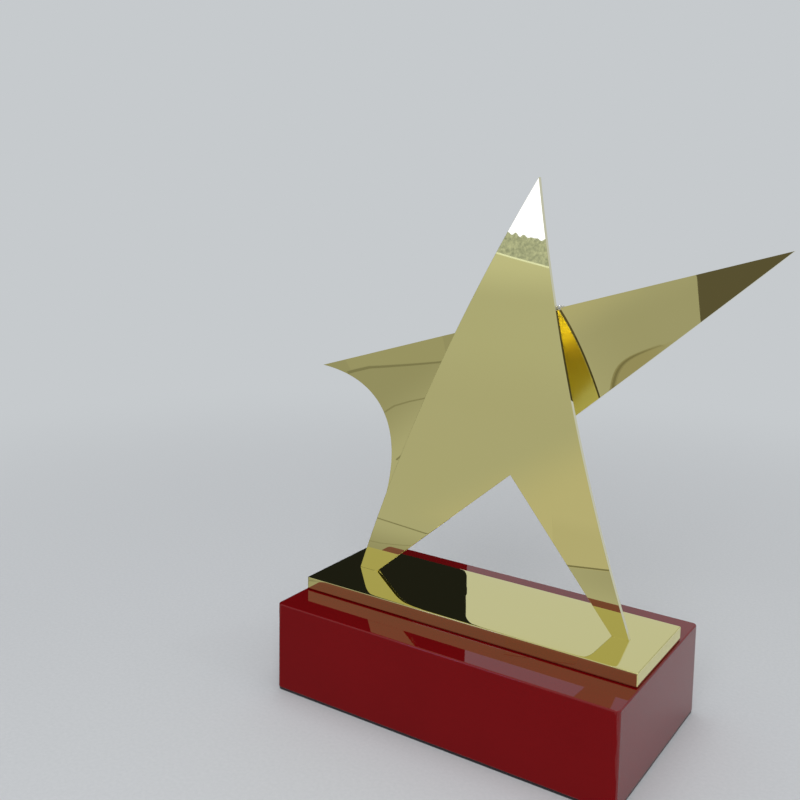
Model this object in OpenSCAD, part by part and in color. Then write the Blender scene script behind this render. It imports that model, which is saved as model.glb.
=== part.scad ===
// Star trophy: a polished gold star cut from two sheets, on a gold plate and a red lacquered block.
// Millimetres. The origin is under the middle of the felt, +Z is up and the star faces -Y.

/* [Lacquered block] */
// Length of the block, left to right
block_w = 160; // [150:1:220]
// Depth of the block, front to back
block_d = 90; // [60:1:130]
// Height of the block above its felt
block_h = 39; // [25:1:60]
// Radius of the block's four upright corners
block_round = 2; // [1:0.5:4]
// Radius that rounds the block's top and bottom edges
block_edge = 0.6; // [0.3:0.1:2]
// Thickness of the felt glued under the block
felt_t = 1; // [0.5:0.5:3]
// How far the felt's edge stays inside the block's edge
felt_inset = 0.2; // [0:0.2:6]

/* [Gold plate] */
// Part of the block left free beyond each end of the plate
plate_margin = 1; // [0.5:0.5:5]
// Depth of the plate, front to back
plate_d = 50; // [40:1:58]
// Thickness of the plate
plate_t = 6; // [5:0.5:10]
// Width of the chamfer round the plate's top and bottom
plate_chamfer = 0.4; // [0.2:0.1:1]

/* [Front sheet] */
// Thickness of the front sheet
front_t = 2; // [1.5:0.25:3]
// Height of the tip above the plate
star_h = 184; // [160:1:220]
// How far the tip stands to the right of the block's middle
tip_x = 19.8; // [5:0.1:30]
// Distance between the outer corners of the feet
foot_span = 132.8; // [120:0.2:145]
// Width of the left foot where it meets the plate
left_foot_w = 9.4; // [7:0.1:12]
// Width of the right foot where it meets the plate
right_foot_w = 7.4; // [7:0.1:12]
// How far the top of the gap between the legs stands to the right of the middle
crotch_x = 11; // [0:0.5:20]
// Height of the top of that gap above the plate
crotch_h = 58.4; // [45:0.1:65]
// Radius of the two long edges that meet at the tip
edge_r = 900; // [700:10:1400]

/* [Arms sheet] */
// Thickness of the arms sheet
arms_t = 2; // [1.5:0.25:3]
// Height above the plate at which the arms' top edge crosses the middle
arms_h = 122; // [115:0.1:130]
// Angle at which the top edge rises to the right
arms_rise = 17.2; // [10:0.1:22]
// Distance of the left tip from the middle
left_reach = 91.2; // [80:0.1:100]
// Distance of the right tip from the middle
right_reach = 119.7; // [100:0.1:130]
// Radius to which the arms sheet is rolled, hollow to the front
bow_r = 155; // [140:1:300]
// Angle at which the sheet leaves the back of the front sheet
bow_tilt = 24.7; // [12:0.1:27]
// Distance of the left arm's lower end from the middle
left_root_x = 63.6; // [58:0.1:66]
// Height of the left arm's lower end above the plate
left_root_h = 31.4; // [28:0.1:40]
// How far the lower corner behind the legs stands to the right of the middle
corner_x = 10.5; // [5:0.1:20]
// Height of that corner above the plate
corner_h = 64.9; // [62:0.1:75]
// Length of the curve's handle at the left tip
tip_handle = 32.9; // [20:0.1:40]
// Angle by which the curve falls as it leaves the left tip
tip_fall = 8.7; // [2:0.1:12]
// Length of the curve's handle at the left arm's lower end
root_handle = 31.6; // [20:0.1:40]
// Angle at which the curve stands at the left arm's lower end
root_stand = 75.8; // [70:0.1:85]

/* [Seams and screws] */
// Gap that the solder fills along the top edge of the arms
solder_gap = 0.05; // [0.02:0.01:0.1]
// Height of the solder seam behind the star
seam_h = 6; // [3:0.5:9]
// How far the seam stays back from the edges of the front sheet
seam_inset = 4; // [2:0.5:8]
// Shoulder left on each side of a foot's tab
tab_shoulder = 1.2; // [0.6:0.1:2]
// Clearance between a tab and its slot
slot_gap = 0.1; // [0.05:0.05:0.3]
// Depth of the solder pocket under the plate
pocket_h = 1.5; // [1:0.25:2]
// How far the pocket reaches past the tab all round
pocket_lip = 1.5; // [0.5:0.25:2]
// Distance between the two plate screws
screw_span = 80; // [50:1:84]
// Thread diameter of the plate screws
screw_d = 5; // [4:0.5:6]
// Clearance round the thread in the plate
thread_gap = 0.05; // [0.02:0.01:0.1]
// Clearance round the shank, washer and head in the block
bore_gap = 0.3; // [0.2:0.1:0.6]
// How far a screw goes into the plate
thread_depth = 3.5; // [3:0.25:4]
// Free depth left in the plate beyond a screw's end
thread_runout = 0.5; // [0.25:0.25:0.75]
// Diameter of a screw head
head_d = 8.5; // [7.5:0.5:10]
// Height of a screw head
head_h = 5; // [4:0.5:6]
// Width across the flats of the key socket in a head
key_af = 4; // [3:0.5:5]
// Depth of the key socket
key_depth = 2.5; // [1.5:0.5:3]
// Outer diameter of a washer
washer_d = 11; // [10.5:0.5:14]
// Thickness of a washer
washer_t = 1; // [0.6:0.2:1.6]
// Depth at which a screw head lies inside the block's underside
head_sunk = 1; // [0.5:0.5:3]

/* [Hidden] */
$fn = 96;

gold = "#E8DB92";
lacquer = "#7A0F16";
felt = "#1C1B1E";
solder = "#B9B7AE";
zinc = "#B4B8BB";

// Facets that stand for the two very large arcs while drawing
arc_fn = 720;
// Steps of the left arm's curve
curve_steps = 24;
// Reach of the plain shapes that only serve to cut
far = 400;
// How far a cutting shape runs past the face that it cuts
overcut = 1;
// Sides of the key socket in a screw head
key_sides = 6;

plate_w = block_w - 2 * plate_margin;
block_top = felt_t + block_h;
plate_top = block_top + plate_t;

tip = [tip_x, plate_top + star_h];
left_foot = [-foot_span / 2, plate_top];
right_foot = [foot_span / 2, plate_top];
left_inner = left_foot + [left_foot_w, 0];
right_inner = right_foot - [right_foot_w, 0];
crotch = [crotch_x, plate_top + crotch_h];
tab_depth = plate_t - pocket_h;
left_tab = [left_foot[0] + tab_shoulder, left_inner[0] - tab_shoulder];
right_tab = [right_inner[0] + tab_shoulder, right_foot[0] - tab_shoulder];

// Front view of the arms' top edge: a point on it, and its directions along and down
arms_mid = [0, plate_top + arms_h];
along = [cos(arms_rise), sin(arms_rise)];
down = [sin(arms_rise), -cos(arms_rise)];
left_tip = arms_mid - along * left_reach / along[0];
right_tip = arms_mid + along * right_reach / along[0];
left_root = [-left_root_x, plate_top + left_root_h];
corner = [corner_x, plate_top + corner_h];
arms_y = front_t / 2 + solder_gap;

head_top = felt_t + head_sunk + head_h;
washer_top = head_top + washer_t;
screw_end = block_top + thread_depth;

// Centre of an arc of radius r that runs from p down to q and swells to the left
function arc_centre(p, q, r) =
    let (d = q - p, half = norm(d) / 2)
    (p + q) / 2 + [-d[1], d[0]] / norm(d) * sqrt(r * r - half * half);

left_centre = arc_centre(tip, left_foot, edge_r);
right_centre = arc_centre(tip, right_foot, edge_r);

// Distance along the arms' top edge, from its middle, to its first meeting with an arc
function meets_arc(c, r) =
    let (to = c - arms_mid, near = to * along)
    near - sqrt(r * r - to * to + near * near);

left_notch = meets_arc(left_centre, edge_r);
right_notch = meets_arc(right_centre, edge_r);

// How far the rolled sheet has moved back at a distance down from its top edge
function bow_depth(s) =
    sqrt(pow(bow_r, 2) - pow(s - bow_r * sin(bow_tilt), 2)) - bow_r * cos(bow_tilt);

// Point of a cubic curve from a to d with the handles b and c
function cubic(a, b, c, d, t) =
    a * pow(1 - t, 3) + b * 3 * t * pow(1 - t, 2) + c * 3 * t * t * (1 - t) + d * pow(t, 3);

// Stands a front view upright, from y_front backwards
module upright(y_front, depth) {
    translate([0, y_front + depth, 0])
        rotate([90, 0, 0])
            linear_extrude(depth) children();
}

// Rectangle with round corners, centred
module round_rect(w, h, r) {
    square([w - 2 * r, h], center = true);
    square([w, h - 2 * r], center = true);
    for (x = [-1, 1], y = [-1, 1])
        translate([x * (w / 2 - r), y * (h / 2 - r)]) circle(r);
}

// Places children at both screws
module at_screws() {
    for (side = [-1, 1])
        translate([side * screw_span / 2, 0, 0]) children();
}

// Upright box over a range of x, centred on y, used for tabs' slots and pockets
module slot_box(span, grow, z0, z1) {
    translate([span[0] - grow, -front_t / 2 - grow, z0])
        cube([span[1] - span[0] + 2 * grow, front_t + 2 * grow, z1 - z0]);
}

// Solid cylinder lying along the arms' top edge, with the axis that the sheet is rolled about
module bow_cylinder(r) {
    axis = arms_mid + down * bow_r * sin(bow_tilt);
    translate([axis[0], arms_y - bow_r * cos(bow_tilt), axis[1]])
        rotate([0, 90 - arms_rise, 0])
            cylinder(r = r, h = 2 * far, center = true, $fn = arc_fn);
}

module base_block() {
    color(lacquer)
        difference() {
            translate([0, 0, felt_t + block_h / 2])
                intersection() {
                    linear_extrude(block_h, center = true) round_rect(block_w, block_d, block_round);
                    rotate([90, 0, 0])
                        linear_extrude(block_d, center = true) round_rect(block_w, block_h, block_edge);
                    rotate([90, 0, 90])
                        linear_extrude(block_w, center = true) round_rect(block_d, block_h, block_edge);
                }
            at_screws() {
                translate([0, 0, felt_t - overcut])
                    cylinder(d = washer_d + 2 * bore_gap, h = washer_top - felt_t + overcut);
                translate([0, 0, felt_t])
                    cylinder(d = screw_d + 2 * bore_gap, h = block_h + overcut);
            }
        }
}

module felt_pad() {
    color(felt)
        linear_extrude(felt_t)
            round_rect(block_w - 2 * felt_inset, block_d - 2 * felt_inset, block_round);
}

// Section of the plate with its chamfered corners
module plate_section(w) {
    polygon([
        [-w / 2, plate_chamfer],
        [-w / 2 + plate_chamfer, 0],
        [w / 2 - plate_chamfer, 0],
        [w / 2, plate_chamfer],
        [w / 2, plate_t - plate_chamfer],
        [w / 2 - plate_chamfer, plate_t],
        [-w / 2 + plate_chamfer, plate_t],
        [-w / 2, plate_t - plate_chamfer]
    ]);
}

module base_plate() {
    color(gold)
        difference() {
            translate([0, 0, block_top])
                intersection() {
                    rotate([90, 0, 0]) linear_extrude(plate_d, center = true) plate_section(plate_w);
                    rotate([90, 0, 90]) linear_extrude(plate_w, center = true) plate_section(plate_d);
                }
            for (span = [left_tab, right_tab]) {
                slot_box(span, slot_gap, block_top - overcut, plate_top + overcut);
                slot_box(span, pocket_lip, block_top - overcut, block_top + pocket_h);
            }
            at_screws()
                translate([0, 0, block_top - overcut])
                    cylinder(d = screw_d + 2 * thread_gap, h = thread_depth + thread_runout + overcut);
        }
}

module star_front() {
    color(gold)
        upright(-front_t / 2, front_t) {
            // The spike and legs lie between two arcs of one radius, which cross at the tip
            difference() {
                intersection() {
                    translate([-far / 2, plate_top]) square(far);
                    translate(left_centre) circle(edge_r, $fn = arc_fn);
                }
                translate(right_centre) circle(edge_r, $fn = arc_fn);
                polygon([
                    crotch,
                    right_inner,
                    right_inner - [0, overcut],
                    left_inner - [0, overcut],
                    left_inner
                ]);
            }
            // Tabs that go down into the plate, let into the feet by their shoulder's width
            for (span = [left_tab, right_tab])
                translate([span[0], plate_top - tab_depth])
                    square([span[1] - span[0], tab_depth + tab_shoulder]);
        }
}

module arms_outline() {
    root_turn = left_root + root_handle * [cos(root_stand), sin(root_stand)];
    tip_turn = left_tip + tip_handle * [cos(tip_fall), -sin(tip_fall)];
    curve = [
        for (i = [0 : curve_steps - 1])
            cubic(left_root, root_turn, tip_turn, left_tip, i / curve_steps)
    ];
    polygon(concat([left_tip, right_tip, corner], curve));
}

module star_arms() {
    color(gold)
        intersection() {
            upright(0, far) arms_outline();
            difference() {
                bow_cylinder(bow_r + arms_t);
                bow_cylinder(bow_r);
            }
        }
}

module arm_seam() {
    color(solder)
        translate([arms_mid[0], 0, arms_mid[1]])
            rotate([0, -arms_rise, 0])
                translate([left_notch + seam_inset, 0, 0])
                    rotate([90, 0, 90])
                        linear_extrude(right_notch - left_notch - 2 * seam_inset)
                            polygon([
                                [front_t / 2, 0],
                                [front_t / 2, -seam_h],
                                [arms_y + bow_depth(seam_h), -seam_h],
                                [arms_y, 0]
                            ]);
}

module foot_seams() {
    color(solder)
        for (span = [left_tab, right_tab])
            slot_box(span, pocket_lip, block_top, block_top + pocket_h);
}

module plate_screws() {
    color(zinc)
        at_screws()
            difference() {
                union() {
                    translate([0, 0, head_top - head_h]) cylinder(d = head_d, h = head_h);
                    translate([0, 0, head_top - head_h / 2])
                        cylinder(d = screw_d, h = screw_end - head_top + head_h / 2);
                }
                translate([0, 0, head_top - head_h - overcut])
                    cylinder(d = key_af / cos(180 / key_sides), h = key_depth + overcut, $fn = key_sides);
            }
}

module screw_washers() {
    color(zinc)
        at_screws()
            translate([0, 0, head_top])
                difference() {
                    cylinder(d = washer_d, h = washer_t);
                    translate([0, 0, -overcut])
                        cylinder(d = screw_d + 2 * bore_gap, h = washer_t + 2 * overcut);
                }
}

base_block();
felt_pad();
base_plate();
star_front();
star_arms();
arm_seam();
foot_seams();
plate_screws();
screw_washers();
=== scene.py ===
import math

import bmesh
import bpy
from mathutils import Matrix, Vector


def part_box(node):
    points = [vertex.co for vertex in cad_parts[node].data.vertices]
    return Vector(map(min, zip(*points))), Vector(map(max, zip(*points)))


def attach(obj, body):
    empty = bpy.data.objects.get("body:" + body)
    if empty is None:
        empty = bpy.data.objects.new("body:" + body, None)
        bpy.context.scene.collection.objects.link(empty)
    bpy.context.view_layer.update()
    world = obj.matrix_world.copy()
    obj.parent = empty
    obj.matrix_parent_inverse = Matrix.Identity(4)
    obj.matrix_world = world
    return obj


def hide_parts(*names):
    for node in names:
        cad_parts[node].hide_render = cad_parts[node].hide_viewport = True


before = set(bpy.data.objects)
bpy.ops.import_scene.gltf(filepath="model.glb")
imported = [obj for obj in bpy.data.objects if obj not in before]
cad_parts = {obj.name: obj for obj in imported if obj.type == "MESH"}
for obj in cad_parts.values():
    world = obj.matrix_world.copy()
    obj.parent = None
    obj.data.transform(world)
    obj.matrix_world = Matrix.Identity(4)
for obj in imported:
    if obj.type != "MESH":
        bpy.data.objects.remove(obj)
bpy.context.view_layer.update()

MM = 0.001
scene = bpy.context.scene
scene.view_settings.view_transform = "Standard"
# Light bounces many times between the two mirror sheets where they meet
scene.cycles.max_bounces = 16
scene.cycles.glossy_bounces = 14

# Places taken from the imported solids
plate_low, plate_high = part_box("base_plate")
block_low, block_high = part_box("base_block")
felt_low, felt_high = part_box("felt_pad")
front_low, front_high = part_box("star_front")
arms_low, arms_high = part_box("star_arms")
seam_low, seam_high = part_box("arm_seam")
washer_low, washer_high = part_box("screw_washers")
_, screw_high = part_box("plate_screws")
PLATE_TOP = plate_high.z

# Front sheet: a spike and two legs between two arcs that cross at the tip
TIP = Vector((19.8 * MM, front_high.z))
LEFT_FOOT = Vector((front_low.x, PLATE_TOP))
RIGHT_FOOT = Vector((front_high.x, PLATE_TOP))
LEFT_FOOT_W = 9.4 * MM
RIGHT_FOOT_W = 7.4 * MM
CROTCH = Vector((11 * MM, PLATE_TOP + 58.4 * MM))
EDGE_RADIUS = 900 * MM
EDGE_STEPS = 60
TAB_SHOULDER = 1.2 * MM

# Arms sheet: a blank with one straight top edge, rolled hollow to the front
ARMS_RISE = math.radians(17.2)
ARMS_MIDDLE = Vector((0, PLATE_TOP + 122 * MM))
LEFT_ROOT = Vector((-63.6 * MM, PLATE_TOP + 31.4 * MM))
CORNER = Vector((10.5 * MM, PLATE_TOP + 64.9 * MM))
TIP_HANDLE = (32.9 * MM, math.radians(-8.7))
ROOT_HANDLE = (31.6 * MM, math.radians(75.8))
ARMS_THICK = 2 * MM
ROLL_RADIUS = 155 * MM
ROLL_TILT = math.radians(24.7)
ROLL_STRIP = 1.0 * MM
ROLL_SPAN = 4.0 * MM
CURVE_STEPS = 48

# Edges as cutting and buffing leave them
SHEET_EDGE = 0.12 * MM
BLOCK_CORNER = 2 * MM
BLOCK_EDGE = 0.6 * MM
FELT_EDGE = 0.35 * MM
PLATE_CORNER = 0.5 * MM
LEAST_CORNER = 0.02 * MM
CORNER_STEPS = 6
FELT_STEPS = 3

# Plate: a chamfer below, an upright face, and a top that buffing has rolled off towards its edges
PLATE_CHAMFER_IN = 1.2 * MM
PLATE_CHAMFER_UP = 0.4 * MM
PLATE_FACE_FROM = 0.8 * MM
PLATE_FACE_TO = 1.2 * MM
# Inset from the edge and drop below the top, in millimetres
PLATE_ROLL_OFF = [(0.0, 0.42), (0.05, 0.31), (0.15, 0.21), (0.3, 0.145), (0.55, 0.105), (1.0, 0.078)]
PLATE_ROLL_OFF += [(1.6, 0.056), (2.3, 0.036), (3.2, 0.018), (4.4, 0.006), (6.0, 0.0)]

# Slots for the foot tabs, with pockets below them for the solder
SLOT_GAP = 0.1 * MM
POCKET_LIP = 1.5 * MM
POCKET_HEIGHT = 1.5 * MM
# How far a cutter reaches past the face that it opens
OVERCUT = 1 * MM

# Screws from beneath, in stepped bores of the block and blind holes of the plate
THREAD_RADIUS = 2.5 * MM
THREAD_GAP = 0.05 * MM
THREAD_RUNOUT = 0.5 * MM
BORE_GAP = 0.3 * MM
WASHER_RADIUS = (washer_high.y - washer_low.y) / 2
SCREW_X = washer_high.x - WASHER_RADIUS

# Solder seam, with two drops at its right end: how far past the notch each sits, and its radius
SEAM_HEIGHT = 6 * MM
SEAM_INSET = 4 * MM
SEAM_SAG = 1.2 * MM
SEAM_STEPS = 8
DROPS = ((0.5 * MM, 1.1 * MM), (2.2 * MM, 0.77 * MM))
DROP_DEPTH = 0.8 * MM

# Points closer together than this are one
WELD = 0.0005 * MM
# How much the larger faces set the shading: nearly all of it, or a share by area
FLAT_WEIGHT = 80
EVEN_WEIGHT = 50


def linear(code):
    """Linear colour of an sRGB hex code such as 7A0F16."""
    values = [int(code[i:i + 2], 16) / 255 for i in (0, 2, 4)]
    return [v / 12.92 if v <= 0.04045 else ((v + 0.055) / 1.055) ** 2.4 for v in values] + [1.0]


def add(tree, kind, inputs=(), **settings):
    """Adds a node. Inputs maps a socket to a value or to another node's output."""
    made = tree.nodes.new(kind)
    for key, value in settings.items():
        setattr(made, key, value)
    for key, value in dict(inputs).items():
        if isinstance(value, bpy.types.NodeSocket):
            tree.links.new(value, made.inputs[key])
        else:
            made.inputs[key].default_value = value
    return made


def new_material(name):
    """A material with an empty tree but for its output."""
    material = bpy.data.materials.new(name)
    material.use_nodes = True
    tree = material.node_tree
    tree.nodes.clear()
    return material, tree, tree.nodes.new("ShaderNodeOutputMaterial")


def per(size_mm):
    """Scale of a pattern whose marks are that many millimetres apart."""
    return 1 / (size_mm * MM)


def polished_gold(name, edge_tone_and_highlight, back_haze):
    """Gilt brass sheet, buffed on a wheel: a pale, slightly green mirror.

    The eye sees a clean reflection, bent a little where the buffing was uneven, under a faint haze.
    A cut edge is paler: the gilding is thin there, and the pale tone is also a painted highlight along the
    edge. A back that was not buffed is hazier.
    """
    material, tree, output = new_material(name)
    sheet = add(tree, "ShaderNodeTexCoord").outputs
    place = sheet["Object"]
    drift = add(tree, "ShaderNodeTexNoise", {"Vector": place, "Scale": per(45), "Detail": 2.0})
    tone = add(tree, "ShaderNodeMix", {
        "Factor": drift.outputs["Fac"],
        "A": linear("F4EBA4"),
        "B": linear("F2E99E"),
    }, data_type="RGBA")
    # Buffing lines are a few hundredths of a millimetre apart; drawn at half a millimetre to show
    stretch = add(tree, "ShaderNodeMapping", {"Vector": place, "Scale": (1, 1, 0.04)})
    lines = add(tree, "ShaderNodeTexNoise", {
        "Vector": stretch.outputs["Vector"],
        "Scale": per(0.5),
        "Detail": 3.0,
    })
    haze = add(tree, "ShaderNodeMapRange", {
        "Value": lines.outputs["Fac"],
        "From Min": 0.35,
        "From Max": 0.8,
        "To Min": 0.006,
        "To Max": 0.024,
    })
    # The sheet's two broad sides look mostly along Y, its cut edges across
    broad = 0.5
    facing = add(tree, "ShaderNodeSeparateXYZ", {0: sheet["Normal"]}).outputs["Y"]
    along = add(tree, "ShaderNodeMath", {0: facing}, operation="ABSOLUTE")
    rim = add(tree, "ShaderNodeMath", {0: along.outputs[0], 1: broad}, operation="LESS_THAN")
    # Cut edges take a paler tone: thinner gilding, and a painted highlight along the edge
    colour = add(tree, "ShaderNodeMix", {
        "Factor": rim.outputs[0],
        "A": tone.outputs["Result"],
        "B": linear(edge_tone_and_highlight),
    }, data_type="RGBA")
    behind = add(tree, "ShaderNodeMath", {0: facing, 1: broad}, operation="GREATER_THAN")
    rough = add(tree, "ShaderNodeMath", {
        0: behind.outputs[0],
        1: back_haze,
        2: haze.outputs["Result"],
    }, operation="MULTIPLY_ADD")
    wave = add(tree, "ShaderNodeTexNoise", {"Vector": place, "Scale": per(38), "Detail": 0.0})
    bent = add(tree, "ShaderNodeBump", {
        "Height": wave.outputs["Fac"],
        "Strength": 1.0,
        "Distance": 0.035 * MM,
    })
    shader = add(tree, "ShaderNodeBsdfPrincipled", {
        "Base Color": colour.outputs["Result"],
        "Metallic": 1.0,
        "Roughness": rough.outputs[0],
        "Normal": bent.outputs["Normal"],
    })
    tree.links.new(shader.outputs["BSDF"], output.inputs["Surface"])
    return material


def red_lacquer():
    """Red piano lacquer, sprayed on fibreboard, flatted and polished: deep colour under a glassy coat."""
    material, tree, output = new_material("red_piano_lacquer_polished")
    place = add(tree, "ShaderNodeTexCoord").outputs["Object"]
    cloud = add(tree, "ShaderNodeTexNoise", {"Vector": place, "Scale": per(30), "Detail": 3.0})
    tone = add(tree, "ShaderNodeMix", {
        "Factor": cloud.outputs["Fac"],
        "A": linear("6E0408"),
        "B": linear("77060B"),
    }, data_type="RGBA")
    # Spray leaves a faint swell of a few millimetres in the coat
    swell = add(tree, "ShaderNodeTexNoise", {"Vector": place, "Scale": per(7), "Detail": 1.0})
    peel = add(tree, "ShaderNodeBump", {
        "Height": swell.outputs["Fac"],
        "Strength": 1.0,
        "Distance": 0.006 * MM,
    })
    shader = add(tree, "ShaderNodeBsdfPrincipled", {
        "Base Color": tone.outputs["Result"],
        "Roughness": 0.5,
        "Specular IOR Level": 0.0,
        "Coat Weight": 1.0,
        "Coat Roughness": 0.02,
        "Coat IOR": 1.52,
        "Coat Normal": peel.outputs["Normal"],
    })
    tree.links.new(shader.outputs["BSDF"], output.inputs["Surface"])
    return material


def wool_felt():
    """Pressed black wool felt: no gloss, a soft edge and short fibres in every direction."""
    material, tree, output = new_material("black_wool_felt_pressed")
    place = add(tree, "ShaderNodeTexCoord").outputs["Object"]
    fibre = add(tree, "ShaderNodeTexNoise", {"Vector": place, "Scale": per(0.6), "Detail": 5.0})
    tone = add(tree, "ShaderNodeMix", {
        "Factor": fibre.outputs["Fac"],
        "A": linear("141316"),
        "B": linear("2A282C"),
    }, data_type="RGBA")
    nap = add(tree, "ShaderNodeBump", {
        "Height": fibre.outputs["Fac"],
        "Strength": 0.8,
        "Distance": 0.2 * MM,
    })
    shader = add(tree, "ShaderNodeBsdfPrincipled", {
        "Base Color": tone.outputs["Result"],
        "Roughness": 0.95,
        "Sheen Weight": 0.3,
        "Normal": nap.outputs["Normal"],
    })
    tree.links.new(shader.outputs["BSDF"], output.inputs["Surface"])
    return material


def plain_metal(name, dark, light, mark_mm, rough):
    """A duller metal whose tone and gloss vary in marks of that size."""
    material, tree, output = new_material(name)
    place = add(tree, "ShaderNodeTexCoord").outputs["Object"]
    marks = add(tree, "ShaderNodeTexNoise", {"Vector": place, "Scale": per(mark_mm), "Detail": 4.0})
    tone = add(tree, "ShaderNodeMix", {
        "Factor": marks.outputs["Fac"],
        "A": linear(dark),
        "B": linear(light),
    }, data_type="RGBA")
    gloss = add(tree, "ShaderNodeMapRange", {
        "Value": marks.outputs["Fac"],
        "To Min": rough - 0.1,
        "To Max": rough + 0.1,
    })
    shader = add(tree, "ShaderNodeBsdfPrincipled", {
        "Base Color": tone.outputs["Result"],
        "Metallic": 1.0,
        "Roughness": gloss.outputs["Result"],
    })
    tree.links.new(shader.outputs["BSDF"], output.inputs["Surface"])
    return material


GOLD = polished_gold("gilt_brass_mirror_buffed", "F4EBA4", 0.0)
# The sheets' pale cut-edge tone is partly a painted highlight along their edges
ARMS_GOLD = polished_gold("gilt_brass_buffed_on_both_sides", "F2EDCC", 0.0)
FRONT_GOLD = polished_gold("gilt_brass_buffed_on_its_face", "F2EDCC", 0.25)
LACQUER = red_lacquer()
FELT = wool_felt()
# Tin solder as it sets: grey, matt and slightly frosted
SOLDER = plain_metal("tin_solder_as_set", "D2D0C6", "EEECE4", 1.2, 0.22)
# Bright zinc on turned steel: pale, a little blue, with a fine grain
ZINC = plain_metal("zinc_plated_steel_turned", "9DA3A8", "C3C8CB", 0.8, 0.3)


def photo_camera():
    """The photograph's camera, solved from the straight edges of the base."""
    image_size = 800
    focal_px = 1002.2
    centre_above_px = 100
    place = (0.1999, -0.3722, 0.2264)
    yaw, pitch, roll = (math.radians(v) for v in (33.590, 6.633, -1.018))
    data = bpy.data.cameras.new("photo_camera")
    data.sensor_width = 36
    data.lens = focal_px / image_size * data.sensor_width
    data.shift_y = -centre_above_px / image_size
    data.clip_start = 0.01
    camera = bpy.data.objects.new("photo_camera", data)
    scene.collection.objects.link(camera)
    turn = (
        Matrix.Rotation(yaw, 4, "Z")
        @ Matrix.Rotation(math.pi / 2 - pitch, 4, "X")
        @ Matrix.Rotation(-roll, 4, "Z")
    )
    camera.matrix_world = Matrix.Translation(place) @ turn
    scene.camera = camera


def new_piece(name, points, faces):
    """An object at the origin with that mesh, its faces outwards and smooth."""
    mesh = bpy.data.meshes.new(name)
    shape = bmesh.new()
    corners = [shape.verts.new(p) for p in points]
    for face in faces:
        shape.faces.new([corners[i] for i in face])
    bmesh.ops.remove_doubles(shape, verts=shape.verts, dist=WELD)
    bmesh.ops.recalc_face_normals(shape, faces=shape.faces)
    shape.to_mesh(mesh)
    shape.free()
    mesh.polygons.foreach_set("use_smooth", [True] * len(mesh.polygons))
    piece = bpy.data.objects.new(name, mesh)
    scene.collection.objects.link(piece)
    return piece


def faces_between(count):
    """The faces that join two rings of that many points."""
    return [[i, (i + 1) % count, count + (i + 1) % count, count + i] for i in range(count)]


def prism(outline, y_front, y_back):
    """Points and faces of an upright sheet with that front view."""
    count = len(outline)
    points = [(p.x, y_front, p.y) for p in outline] + [(p.x, y_back, p.y) for p in outline]
    faces = [list(range(count)), list(range(2 * count - 1, count - 1, -1))]
    return points, faces + faces_between(count)


def bake(piece):
    """Turns the piece's modifiers into a plain mesh."""
    graph = bpy.context.evaluated_depsgraph_get()
    piece.data = bpy.data.meshes.new_from_object(piece.evaluated_get(graph), depsgraph=graph)
    piece.modifiers.clear()


def keep_flat(piece, weight=FLAT_WEIGHT):
    """Lets the larger faces set the shading of their corners."""
    flat = piece.modifiers.new("flat", "WEIGHTED_NORMAL")
    flat.mode = "FACE_AREA"
    flat.weight = weight


def buffed_edges(piece, width, weight=FLAT_WEIGHT):
    """Rounds the sharp edges a little and keeps the shading of the broad faces."""
    edge = piece.modifiers.new("edge", "BEVEL")
    edge.width = width
    edge.segments = 3
    edge.limit_method = "ANGLE"
    edge.angle_limit = math.radians(40)
    keep_flat(piece, weight)


def stands_for(piece, node, material):
    """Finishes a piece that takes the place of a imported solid."""
    piece.data.materials.clear()
    piece.data.materials.append(material)
    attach(piece, "root")
    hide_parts(node)


def arc(top, foot, radius):
    """Points from top down to foot on an arc that swells to the left."""
    chord = foot - top
    across = Vector((-chord.y, chord.x)).normalized()
    centre = (top + foot) / 2 + across * math.sqrt(radius ** 2 - chord.length_squared / 4)
    first, last = (math.atan2(p.y - centre.y, p.x - centre.x) % (2 * math.pi) for p in (top, foot))
    angles = [first + (last - first) * i / EDGE_STEPS for i in range(EDGE_STEPS + 1)]
    return [centre + radius * Vector((math.cos(a), math.sin(a))) for a in angles]


def tab(left, right):
    """The four corners of a foot's tab, from its left shoulder round to its right one."""
    depth = front_low.z
    return [
        Vector((left + TAB_SHOULDER, PLATE_TOP)),
        Vector((left + TAB_SHOULDER, depth)),
        Vector((right - TAB_SHOULDER, depth)),
        Vector((right - TAB_SHOULDER, PLATE_TOP)),
    ]


def star_front():
    """The front sheet, cut flat and stood on its tabs."""
    left_inner = LEFT_FOOT.x + LEFT_FOOT_W
    right_inner = RIGHT_FOOT.x - RIGHT_FOOT_W
    outline = arc(TIP, LEFT_FOOT, EDGE_RADIUS)
    outline += tab(LEFT_FOOT.x, left_inner)
    outline += [Vector((left_inner, PLATE_TOP)), CROTCH, Vector((right_inner, PLATE_TOP))]
    outline += tab(right_inner, RIGHT_FOOT.x)
    outline += arc(TIP, RIGHT_FOOT, EDGE_RADIUS)[:0:-1]
    piece = new_piece("front_sheet", *prism(outline, front_low.y, front_high.y))
    buffed_edges(piece, SHEET_EDGE)
    bake(piece)
    stands_for(piece, "star_front", FRONT_GOLD)


def cubic(a, b, c, d, t):
    """Point of a cubic curve from a to d with the handles b and c."""
    return a * (1 - t) ** 3 + b * 3 * t * (1 - t) ** 2 + c * 3 * t * t * (1 - t) + d * t ** 3


def polar(length, angle):
    """A step of that length in that direction."""
    return Vector((math.cos(angle), math.sin(angle))) * length


def arms_axes():
    """The directions along the arms' top edge and down the sheet."""
    along = polar(1, ARMS_RISE)
    return along, Vector((along.y, -along.x))


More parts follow.
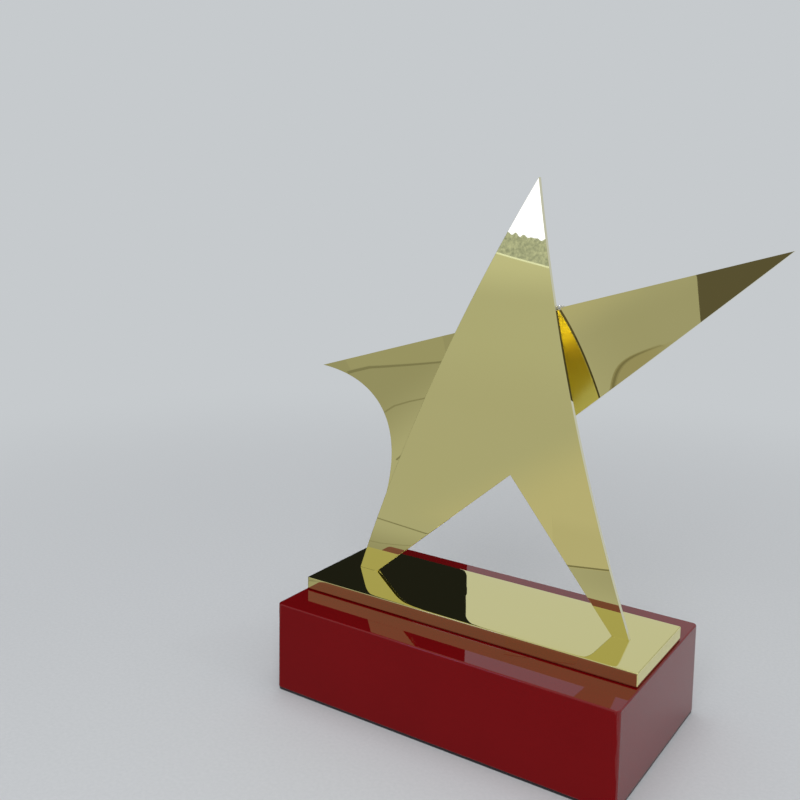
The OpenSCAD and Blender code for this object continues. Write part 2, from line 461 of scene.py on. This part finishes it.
def arms_blank():
    """The flat blank of the arms: its outline, cut into small fields so that it can roll."""
    along, down = arms_axes()
    left_tip = ARMS_MIDDLE + along * (arms_low.x - ARMS_MIDDLE.x) / along.x
    right_tip = ARMS_MIDDLE + along * (arms_high.x - ARMS_MIDDLE.x) / along.x
    handles = (LEFT_ROOT + polar(*ROOT_HANDLE), left_tip + polar(*TIP_HANDLE))
    curve = [cubic(LEFT_ROOT, *handles, left_tip, i / CURVE_STEPS) for i in range(CURVE_STEPS)]
    outline = [left_tip, right_tip, CORNER] + curve
    piece = new_piece("arms_sheet", *prism(outline, 0, ARMS_THICK))
    deepest = max((p - ARMS_MIDDLE).dot(down) for p in outline)
    left, right = ((p - ARMS_MIDDLE).dot(along) for p in (left_tip, right_tip))
    cuts = [(down, i * ROLL_STRIP) for i in range(1, int(deepest / ROLL_STRIP))]
    cuts += [(along, i * ROLL_SPAN) for i in range(int(left / ROLL_SPAN), int(right / ROLL_SPAN) + 1)]
    shape = bmesh.new()
    shape.from_mesh(piece.data)
    for across, distance in cuts:
        at = ARMS_MIDDLE + across * distance
        bmesh.ops.bisect_plane(
            shape,
            geom=shape.verts[:] + shape.edges[:] + shape.faces[:],
            plane_co=(at.x, 0, at.y),
            plane_no=(across.x, 0, across.y),
        )
    shape.to_mesh(piece.data)
    shape.free()
    return piece


def roll_tree():
    """Nodes that roll a flat sheet about an axis along its top edge, hollow to the front."""
    tree = bpy.data.node_groups.new("roll_sheet", "GeometryNodeTree")
    sockets = {}
    for name, kind in (
        ("Geometry", "NodeSocketGeometry"),
        ("Roll radius", "NodeSocketFloat"),
        ("Tilt at the top", "NodeSocketFloat"),
        ("Top edge", "NodeSocketVector"),
        ("Down the sheet", "NodeSocketVector"),
        ("Finish", "NodeSocketMaterial"),
    ):
        sockets[name] = tree.interface.new_socket(name, in_out="INPUT", socket_type=kind).identifier
    tree.interface.new_socket("Geometry", in_out="OUTPUT", socket_type="NodeSocketGeometry")
    given = add(tree, "NodeGroupInput").outputs
    place = add(tree, "GeometryNodeInputPosition").outputs["Position"]
    axes = add(tree, "ShaderNodeSeparateXYZ", {0: place}).outputs
    top = add(tree, "ShaderNodeSeparateXYZ", {0: given["Top edge"]}).outputs
    from_top = add(tree, "ShaderNodeVectorMath", {0: place, 1: given["Top edge"]}, operation="SUBTRACT")
    drop = add(tree, "ShaderNodeVectorMath", {
        0: from_top.outputs["Vector"],
        1: given["Down the sheet"],
    }, operation="DOT_PRODUCT").outputs["Value"]
    roll, tilt = given["Roll radius"], given["Tilt at the top"]
    sine = add(tree, "ShaderNodeMath", {0: tilt}, operation="SINE").outputs[0]
    cosine = add(tree, "ShaderNodeMath", {0: tilt}, operation="COSINE").outputs[0]
    axis_drop = add(tree, "ShaderNodeMath", {0: roll, 1: sine}, operation="MULTIPLY").outputs[0]
    axis_depth = add(tree, "ShaderNodeMath", {0: roll, 1: cosine}, operation="MULTIPLY").outputs[0]
    side = add(tree, "ShaderNodeMath", {0: drop, 1: axis_drop}, operation="SUBTRACT").outputs[0]
    radius = add(tree, "ShaderNodeMath", {0: roll, 1: axes["Y"]}, operation="ADD").outputs[0]
    radius_sq = add(tree, "ShaderNodeMath", {0: radius, 1: radius}, operation="MULTIPLY").outputs[0]
    side_sq = add(tree, "ShaderNodeMath", {0: side, 1: side}, operation="MULTIPLY").outputs[0]
    rest = add(tree, "ShaderNodeMath", {0: radius_sq, 1: side_sq}, operation="SUBTRACT").outputs[0]
    reach = add(tree, "ShaderNodeMath", {0: rest}, operation="SQRT").outputs[0]
    behind = add(tree, "ShaderNodeMath", {0: reach, 1: axis_depth}, operation="SUBTRACT").outputs[0]
    depth = add(tree, "ShaderNodeMath", {0: behind, 1: top["Y"]}, operation="ADD").outputs[0]
    rolled = add(tree, "ShaderNodeCombineXYZ", {"X": axes["X"], "Y": depth, "Z": axes["Z"]}).outputs[0]
    moved = add(tree, "GeometryNodeSetPosition", {"Geometry": given["Geometry"], "Position": rolled})
    real = add(tree, "GeometryNodeRealizeInstances", {"Geometry": moved.outputs["Geometry"]})
    dressed = add(tree, "GeometryNodeSetMaterial", {
        "Geometry": real.outputs["Geometry"],
        "Material": given["Finish"],
    })
    add(tree, "NodeGroupOutput", {"Geometry": dressed.outputs["Geometry"]})
    return tree, sockets


def star_arms():
    """The arms sheet: its blank, rolled and soldered to the front sheet's back along the top edge."""
    piece = arms_blank()
    _, down = arms_axes()
    tree, sockets = roll_tree()
    roll = piece.modifiers.new("roll", "NODES")
    roll.node_group = tree
    roll[sockets["Roll radius"]] = ROLL_RADIUS
    roll[sockets["Tilt at the top"]] = ROLL_TILT
    roll[sockets["Top edge"]] = (ARMS_MIDDLE.x, arms_low.y, ARMS_MIDDLE.y)
    roll[sockets["Down the sheet"]] = (down.x, 0, down.y)
    roll[sockets["Finish"]] = ARMS_GOLD
    buffed_edges(piece, SHEET_EDGE, EVEN_WEIGHT)
    bake(piece)
    stands_for(piece, "star_arms", ARMS_GOLD)


def rounded_ring(half_x, half_y, radius, z):
    """Points of a rectangle with round corners."""
    points = []
    for quarter, (sx, sy) in enumerate(((1, 1), (-1, 1), (-1, -1), (1, -1))):
        centre = (sx * (half_x - radius), sy * (half_y - radius))
        for i in range(CORNER_STEPS + 1):
            angle = math.pi / 2 * (quarter + i / CORNER_STEPS)
            points.append((centre[0] + radius * math.cos(angle), centre[1] + radius * math.sin(angle), z))
    return points


def slab(name, low, high, profile, corner):
    """A block with round upright edges. Profile gives each ring's inset and height, from the bottom up."""
    half_x, half_y = (high.x - low.x) / 2, (high.y - low.y) / 2
    points, faces = [], []
    for inset, z in profile:
        radius = max(corner - inset, LEAST_CORNER)
        points += rounded_ring(half_x - inset, half_y - inset, radius, z)
    count = len(points) // len(profile)
    for level in range(len(profile) - 1):
        for i in range(count):
            j = (i + 1) % count
            a, b = level * count, (level + 1) * count
            faces.append([a + i, a + j, b + j, b + i])
    faces.append(list(range(count)))
    faces.append(list(range(len(points) - count, len(points))))
    return new_piece(name, points, faces)


def quarter_round(radius, z, rising, steps=CORNER_STEPS):
    """Profile of a round edge: in from the bottom face, or in towards the top face."""
    turns = [math.pi / 2 * i / steps for i in range(steps + 1)]
    if rising:
        return [(radius * (1 - math.cos(t)), z - radius * (1 - math.sin(t))) for t in turns]
    return [(radius * (1 - math.sin(t)), z + radius * (1 - math.cos(t))) for t in turns]


def cut(piece, cutters):
    """Takes the cutters' shapes out of the piece."""
    for cutter in cutters:
        away = piece.modifiers.new("cut", "BOOLEAN")
        away.operation = "DIFFERENCE"
        away.solver = "EXACT"
        away.object = cutter


def box_cutter(low, high):
    """A box between two corners, to cut with."""
    xs, ys, zs = zip(low, high)
    points = [(x, y, z) for z in zs for y in ys for x in xs]
    faces = [(0, 1, 3, 2), (4, 5, 7, 6), (0, 1, 5, 4), (2, 3, 7, 6), (0, 2, 6, 4), (1, 3, 7, 5)]
    return new_piece("cutter", points, faces)


def round_cutter(x, radius, z0, z1, sides=48):
    """An upright drum on the block's middle line, to cut with."""
    turns = [2 * math.pi * i / sides for i in range(sides)]
    ring = [(x + radius * math.cos(t), radius * math.sin(t)) for t in turns]
    points = [(*p, z0) for p in ring] + [(*p, z1) for p in ring]
    faces = [list(range(sides)), list(range(sides, 2 * sides))]
    return new_piece("cutter", points, faces + faces_between(sides))


def discard(pieces):
    """Takes cutters out of the scene once they have cut."""
    for piece in pieces:
        bpy.data.objects.remove(piece)


def base_plate():
    """The gold plate. Buffing has rolled its top off towards the edges, where reflections bend."""
    top, bottom = plate_high.z, plate_low.z
    profile = [(PLATE_CHAMFER_IN, bottom), (0, bottom + PLATE_CHAMFER_UP)]
    profile += [(0, bottom + PLATE_FACE_FROM), (0, top - PLATE_FACE_TO)]
    profile += [(inset * MM, top - drop * MM) for inset, drop in PLATE_ROLL_OFF]
    piece = slab("gold_plate", plate_low, plate_high, profile, PLATE_CORNER)
    cutters = []
    for low, high in foot_tabs():
        for grow, z0, z1 in (
            (SLOT_GAP, bottom - OVERCUT, top + OVERCUT),
            (POCKET_LIP, bottom - OVERCUT, bottom + POCKET_HEIGHT),
        ):
            cutters.append(box_cutter(
                (low - grow, front_low.y - grow, z0),
                (high + grow, front_high.y + grow, z1),
            ))
    for x, radius, end in plate_holes():
        cutters.append(round_cutter(x, radius, bottom - OVERCUT, end))
    cut(piece, cutters)
    keep_flat(piece)
    bake(piece)
    discard(cutters)
    stands_for(piece, "base_plate", GOLD)


def foot_tabs():
    """Left and right end of each foot's tab."""
    return [
        (LEFT_FOOT.x + TAB_SHOULDER, LEFT_FOOT.x + LEFT_FOOT_W - TAB_SHOULDER),
        (RIGHT_FOOT.x - RIGHT_FOOT_W + TAB_SHOULDER, RIGHT_FOOT.x - TAB_SHOULDER),
    ]


def plate_holes():
    """Place, radius and top of each blind hole under the plate."""
    top = screw_high.z + THREAD_RUNOUT
    return [(side * SCREW_X, THREAD_RADIUS + THREAD_GAP, top) for side in (-1, 1)]


def base_block():
    """The lacquered block with its two stepped screw bores."""
    bottom, top = block_low.z, block_high.z
    profile = quarter_round(BLOCK_EDGE, bottom, False) + quarter_round(BLOCK_EDGE, top, True)
    piece = slab("lacquered_block", block_low, block_high, profile, BLOCK_CORNER)
    cutters = []
    for side in (-1, 1):
        x = side * SCREW_X
        cutters.append(round_cutter(x, WASHER_RADIUS + BORE_GAP, bottom - OVERCUT, washer_high.z))
        cutters.append(round_cutter(x, THREAD_RADIUS + BORE_GAP, bottom - OVERCUT, top + OVERCUT))
    cut(piece, cutters)
    keep_flat(piece)
    bake(piece)
    discard(cutters)
    stands_for(piece, "base_block", LACQUER)


def felt_pad():
    """The felt under the block, with a soft cut edge."""
    profile = quarter_round(FELT_EDGE, felt_low.z, False, FELT_STEPS)
    profile += quarter_round(FELT_EDGE, felt_high.z, True, FELT_STEPS)
    piece = slab("felt_sheet", felt_low, felt_high, profile, BLOCK_CORNER)
    keep_flat(piece)
    bake(piece)
    stands_for(piece, "felt_pad", FELT)


def rolled_depth(drop):
    """How far back the rolled sheet lies at a distance down from its top edge."""
    reach = math.sqrt(ROLL_RADIUS ** 2 - (drop - ROLL_RADIUS * math.sin(ROLL_TILT)) ** 2)
    return arms_low.y + reach - ROLL_RADIUS * math.cos(ROLL_TILT)


def arm_seam():
    """The solder run between the sheets: hollow below, with two drops where it ends at the right notch."""
    along, down = arms_axes()
    start = (seam_low.x - ARMS_MIDDLE.x) / along.x
    end = (seam_high.x - SEAM_HEIGHT * down.x - ARMS_MIDDLE.x) / along.x
    front, back = front_high.y, rolled_depth(SEAM_HEIGHT)
    section = [(front, 0)]
    for i in range(SEAM_STEPS + 1):
        share = i / SEAM_STEPS
        sag = SEAM_SAG * math.sin(math.pi * share)
        section.append((front + (back - front) * share, SEAM_HEIGHT - sag))
    section.append((arms_low.y, 0))
    count = len(section)
    points = []
    for distance in (start, end):
        for y, drop in section:
            at = ARMS_MIDDLE + along * distance + down * drop
            points.append((at.x, y, at.y))
    faces = [list(range(count)), list(range(count, 2 * count))]
    piece = new_piece("solder_run", points, faces + faces_between(count))
    shape = bmesh.new()
    shape.from_mesh(piece.data)
    for beyond, radius in DROPS:
        at = ARMS_MIDDLE + along * (end + SEAM_INSET + beyond)
        place = Matrix.Translation((at.x, arms_low.y + DROP_DEPTH, at.y))
        bmesh.ops.create_icosphere(shape, subdivisions=3, radius=radius, matrix=place)
    shape.to_mesh(piece.data)
    shape.free()
    piece.data.polygons.foreach_set("use_smooth", [True] * len(piece.data.polygons))
    keep_flat(piece)
    bake(piece)
    stands_for(piece, "arm_seam", SOLDER)


def dress(node, material):
    """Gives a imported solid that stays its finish."""
    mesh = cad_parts[node].data
    mesh.materials.clear()
    mesh.materials.append(material)


# Stage: floor, lamps, and cards that only reflections see. Its places are in metres
BACKDROP = "C6CACD"
FRONT_TONE = "B4B7B8"
RAGGED_STEPS = 90
BEND_STEPS = 12
# The cards on the floor start just before the block
NEAR = block_low.y - 1 * MM


def by_front(tree, y):
    """Backdrop tone for the Y part of a direction: a little darker towards the front."""
    ahead = add(tree, "ShaderNodeMapRange", {
        "Value": y,
        "From Min": -0.1,
        "From Max": -0.7,
    }, interpolation_type="SMOOTHSTEP")
    return add(tree, "ShaderNodeMix", {
        "Factor": ahead.outputs["Result"],
        "A": linear(BACKDROP),
        "B": linear(FRONT_TONE),
    }, data_type="RGBA").outputs["Result"]


def floor():
    """A pale matt floor that runs out into the backdrop."""
    half = 6.0
    corners = [(-half, -half, 0), (half, -half, 0), (half, half, 0), (-half, half, 0)]
    piece = new_piece("floor", corners, [(0, 1, 2, 3)])
    material, tree, output = new_material("pale_grey_table")
    place = add(tree, "ShaderNodeTexCoord").outputs["Object"]
    grain = add(tree, "ShaderNodeTexNoise", {"Vector": place, "Scale": per(1.6), "Detail": 4.0})
    tone = add(tree, "ShaderNodeMix", {
        "Factor": grain.outputs["Fac"],
        "A": linear("CBCED1"),
        "B": linear("D8DADD"),
    }, data_type="RGBA")
    matt = add(tree, "ShaderNodeBsdfPrincipled", {"Base Color": tone.outputs["Result"], "Roughness": 0.8})
    far = add(tree, "ShaderNodeVectorMath", {0: place}, operation="LENGTH")
    fade = add(tree, "ShaderNodeMapRange", {
        "Value": far.outputs["Value"],
        "From Min": 0.16,
        "From Max": 0.7,
    }, interpolation_type="SMOOTHSTEP")
    towards = add(tree, "ShaderNodeVectorMath", {0: place}, operation="NORMALIZE")
    y = add(tree, "ShaderNodeSeparateXYZ", {0: towards.outputs["Vector"]}).outputs["Y"]
    glow = add(tree, "ShaderNodeEmission", {"Color": by_front(tree, y), "Strength": 1.0})
    mixed = add(tree, "ShaderNodeMixShader", {
        0: fade.outputs["Result"],
        1: matt.outputs["BSDF"],
        2: glow.outputs["Emission"],
    })
    tree.links.new(mixed.outputs["Shader"], output.inputs["Surface"])
    piece.data.materials.append(material)


def mirror_card(name, corners, code, strength=1.0, mottle=None, fades=()):
    """A flat card that shows only in reflections, as a studio flag does.

    mottle is a second tone. Each fade is an axis, the place where the card is clear and where it is full.
    """
    piece = new_piece(name, corners, [range(len(corners))])
    material, tree, output = new_material(name)
    place = add(tree, "ShaderNodeTexCoord").outputs["Object"]
    marks = add(tree, "ShaderNodeTexNoise", {"Vector": place, "Scale": per(5), "Detail": 4.0})
    tone = add(tree, "ShaderNodeMix", {
        "Factor": marks.outputs["Fac"],
        "A": linear(code),
        "B": linear(mottle or code),
    }, data_type="RGBA")
    glow = add(tree, "ShaderNodeEmission", {"Color": tone.outputs["Result"], "Strength": strength})
    shown = glow.outputs["Emission"]
    across = add(tree, "ShaderNodeSeparateXYZ", {0: place}).outputs
    for axis, clear_at, full_at in fades:
        cover = add(tree, "ShaderNodeMapRange", {
            "Value": across[axis],
            "From Min": clear_at,
            "From Max": full_at,
        }, interpolation_type="SMOOTHSTEP")
        clear = add(tree, "ShaderNodeBsdfTransparent")
        shown = add(tree, "ShaderNodeMixShader", {
            0: cover.outputs["Result"],
            1: clear.outputs["BSDF"],
            2: shown,
        }).outputs["Shader"]
    tree.links.new(shown, output.inputs["Surface"])
    piece.data.materials.append(material)
    piece.visible_camera = False
    piece.visible_diffuse = False
    piece.visible_shadow = False
    piece.visible_transmission = False


def level_card(name, corners, height_mm, code, *fades):
    """A level card, low over the floor or hung above it; of two cards the higher one shows."""
    mirror_card(name, [(x, y, height_mm * MM) for x, y in corners], code, fades=fades)


def upright_card(name, start, end, low, high, code, *fades, strength=1.0, mottle=None, ragged=0.0):
    """An upright card between two places.

    low and high are the heights of its lower and upper edge, each at the start and at the end.
    ragged is how far the upper edge strays.
    """
    bottom = [Vector((*start, low[0])), Vector((*end, low[1]))]
    top_start, top_end = Vector((*start, high[0])), Vector((*end, high[1]))
    top = [top_end]
    if ragged:
        # Two waves out of step, so that no pattern shows
        for i in range(1, RAGGED_STEPS):
            lift = ragged * (math.sin(5.1 * i) + math.sin(0.9 * i)) / 2
            top.append(top_end.lerp(top_start, i / RAGGED_STEPS) + Vector((0, 0, lift)))
    mirror_card(name, bottom + top + [top_start], code, strength, mottle, fades)


def soft_lamp(name, place, target, size, radiance):
    """A rectangular soft box of that radiance, aimed at the target. Neither camera nor mirrors see it."""
    data = bpy.data.lights.new(name, "AREA")
    data.shape = "RECTANGLE"
    data.size, data.size_y = size
    data.energy = radiance * math.pi * size[0] * size[1]
    lamp = bpy.data.objects.new(name, data)
    scene.collection.objects.link(lamp)
    lamp.location = place
    lamp.rotation_euler = (Vector(target) - Vector(place)).to_track_quat("-Z", "Y").to_euler()
    lamp.visible_camera = False
    lamp.visible_glossy = False


def world_light():
    """Even light from all round; the camera and the mirrors see the plain backdrop."""
    world = bpy.data.worlds.new("studio")
    scene.world = world
    world.use_nodes = True
    tree = world.node_tree
    tree.nodes.clear()
    path = add(tree, "ShaderNodeLightPath").outputs
    seen = path["Is Camera Ray"]
    for ray in ("Is Glossy Ray", "Is Transmission Ray"):
        seen = add(tree, "ShaderNodeMath", {0: seen, 1: path[ray]}, operation="MAXIMUM").outputs[0]
    light = add(tree, "ShaderNodeBackground", {"Color": linear("F4F6F8"), "Strength": 0.45})
    direction = add(tree, "ShaderNodeTexCoord").outputs["Generated"]
    y = add(tree, "ShaderNodeSeparateXYZ", {0: direction}).outputs["Y"]
    wall = add(tree, "ShaderNodeBackground", {"Color": by_front(tree, y), "Strength": 1.0})
    mixed = add(tree, "ShaderNodeMixShader", {
        0: seen,
        1: light.outputs["Background"],
        2: wall.outputs["Background"],
    })
    output = add(tree, "ShaderNodeOutputWorld")
    tree.links.new(mixed.outputs["Shader"], output.inputs["Surface"])


def lamps():
    """Two soft boxes, and the part of the ceiling that shows in the gap between the sheets."""
    height = 1.7
    soft_lamp("ceiling", (0, 0, height), (0, 0, 0), size=(1.2, 1.2), radiance=1.6)
    panel = [(-0.38, 0.1), (0.1, 0.1), (0.1, 1.0), (-0.38, 1.0)]
    mirror_card("ceiling_panel", [(x, y, height) for x, y in panel], "FFFFFF", strength=4.2)
    soft_lamp("key", (0.5, -1.2, 0.75), (0, 0, 0.08), size=(1.0, 1.0), radiance=3.5)


def tip_cards():
    """What the spike's tip mirrors: a bright card, and before it a mottled one with a pale strip below."""
    left, right = -0.77, -0.51
    behind = ((left, -1.345), (right, -1.345))
    before = ((left, -1.343), (right, -1.343))
    strip_low, strip_high = (0.106, 0.055), (0.109, 0.058)
    mottled = {"mottle": "E2ECFF", "ragged": 0.0035}
    upright_card("bright_card", *behind, (0.13, 0.088), (0.45, 0.45), "AAB1FF", strength=3.4)
    upright_card("mottled_card", *before, strip_high, (0.149, 0.107), "566378", **mottled)
    upright_card("pale_strip", *before, strip_low, strip_high, "DCE6FF", strength=1.2)
    upright_card("card_below", *before, (0, 0), strip_low, "C6CACC", ("Z", 0.0, 0.09))


def dark_flags():
    """Two dark flags: the left one shows in the plate, the far one in the sheets' edges."""
    upright_card("dark_flag", (-0.177, -0.084), (-0.075, 0.117), (0.002, 0.002), (0.26, 0.26), "1E1F1E")
    upright_card("edge_flag", (0.12, 0.5), (0.2, 0.479), (0.28, 0.28), (0.55, 0.55), "2A2B2A")


def front_cards():
    """The floor in front as the polished faces mirror it: painted shade, greyer than the camera sees it
    elsewhere.
    """
    far, left, right = -0.9, -0.7, 0.12
    front = [(left, NEAR), (left, far), (right, far), (right, NEAR)]
    # Grey cards of painted shade on the floor, which only the mirrors see
    level_card("front_floor_shade", front, 0.2, "B0B2B3", ("Y", far, -0.5))
    beside = [(-0.3, NEAR), (-0.3, -0.2), (-0.06, -0.2), (-0.06, NEAR)]
    level_card("left_floor_shade", beside, 0.4, "9A9B98", ("Y", -0.17, -0.12))
    border = [(-0.157, -0.1031), (-0.145, -0.1067), (-0.129, -0.1139), (-0.098, -0.1285)]
    level_card("left_near", [(-0.157, NEAR)] + border + [(-0.06, NEAR)], 0.5, "A0A19D")
    # Shade before the block; its upper part hangs where the arms and the plate don't mirror it
    shade = "5C5D5F"
    low = [(-0.16, NEAR), (-0.16, -0.09), (0.1, -0.09), (0.1, NEAR)]
    level_card("block_shade", low, 0.6, shade, ("X", -0.16, -0.135))
    high = [(-0.098, -0.055), (-0.1165, -0.0885), (0.1, -0.0885), (0.1, -0.055)]
    level_card("block_shade_high", high, 15, shade)
    grey = [(-0.08, -0.12), (-0.08, -0.25), (0.1, -0.25), (0.1, -0.12)]
    level_card("right_floor_shade", grey, 0.4, "A3A4A4", ("X", -0.08, 0.02), ("Y", -0.12, -0.17))
    pale = [(-0.037, -0.172), (-0.037, -0.6), (-0.18, -0.6), (-0.18, -0.172)]
    level_card("pale_ground", pale, 0.5, "BEBCB6", ("Y", -0.172, -0.21), ("X", -0.18, -0.09))
    # The right arm's tip mirrors these two
    dark = [(0.0675, -0.15), (0.047, -0.21), (0.25, -0.21), (0.25, -0.15)]
    level_card("dark_ground", dark, 0.6, "5C5852")
    corner = [(0.13, -0.21), (0.13, -0.7), (0.6, -0.7), (0.6, -0.21)]
    level_card("dark_corner", corner, 0.6, "4A4740")


def bent_line_cards():
    """A bent line that the right arm mirrors, a little greyer beyond it."""
    handles = ((0.022, -0.203), (-0.004, -0.199), (-0.0095, -0.1985), (-0.0275, -0.2285))
    ends = [Vector(p) for p in handles]
    bend = [cubic(*ends, i / BEND_STEPS) for i in range(BEND_STEPS + 1)]
    beyond = [(-0.0275, -0.26), (0.045, -0.235), (0.045, -0.203)]
    level_card("grey_patch", bend + beyond, 0.6, "9B988E", ("X", 0.04, 0.006))
    for name, width_mm, height_mm, code in (
        ("bent_line_soft", 2.2, 0.69, "8E8B80"),
        ("bent_line", 1.0, 0.75, "7A776B"),
    ):
        side = Vector((0.6, -0.8)) * width_mm * MM
        strip = [p - side for p in bend] + [p + side for p in reversed(bend)]
        level_card(name, strip, height_mm, code, ("X", 0.034, -0.004))


def leg_cards():
    """A pale card hung before the right leg, with a thin line at its near end."""
    height_mm = 52
    left, right = Vector((0.014, -0.0426)), Vector((0.042, -0.0519))
    wide = Vector((0, -0.0022))
    end = -0.112
    pale = [left, right, (right.x, end), (-0.02, end)]
    level_card("leg_card", pale, height_mm, "BAB8B1", ("Y", end, -0.085))
    level_card("leg_line", [left, right, right + wide, left + wide], height_mm + 0.2, "7C7A6E")


def thin_line_cards():
    """Thin lines on the floor that the left arm and the left leg mirror."""
    lines = {
        "thin_line_1": (1.3, "82827C", [
            (-0.162, -0.1016),
            (-0.145, -0.1067),
            (-0.129, -0.1139),
            (-0.1, -0.1275),
        ]),
        "thin_line_2": (1.1, "8A8A84", [
            (-0.158, -0.1315),
            (-0.146, -0.1325),
            (-0.136, -0.1363),
            (-0.122, -0.143),
        ]),
        "thin_line_3": (1.8, "86867F", [(-0.1765, -0.1705), (-0.13, -0.1635)]),
    }
    for name, (width_mm, code, line) in lines.items():
        far_side = [(x, y - width_mm * MM) for x, y in reversed(line)]
        level_card(name, line + far_side, 0.8, code)


def stage():
    """What the photograph's view needs around the object."""
    floor()
    world_light()
    lamps()
    tip_cards()
    dark_flags()
    front_cards()
    bent_line_cards()
    leg_cards()
    thin_line_cards()


photo_camera()
star_front()
star_arms()
base_plate()
base_block()
felt_pad()
arm_seam()
dress("foot_seams", SOLDER)
dress("plate_screws", ZINC)
dress("screw_washers", ZINC)
stage()
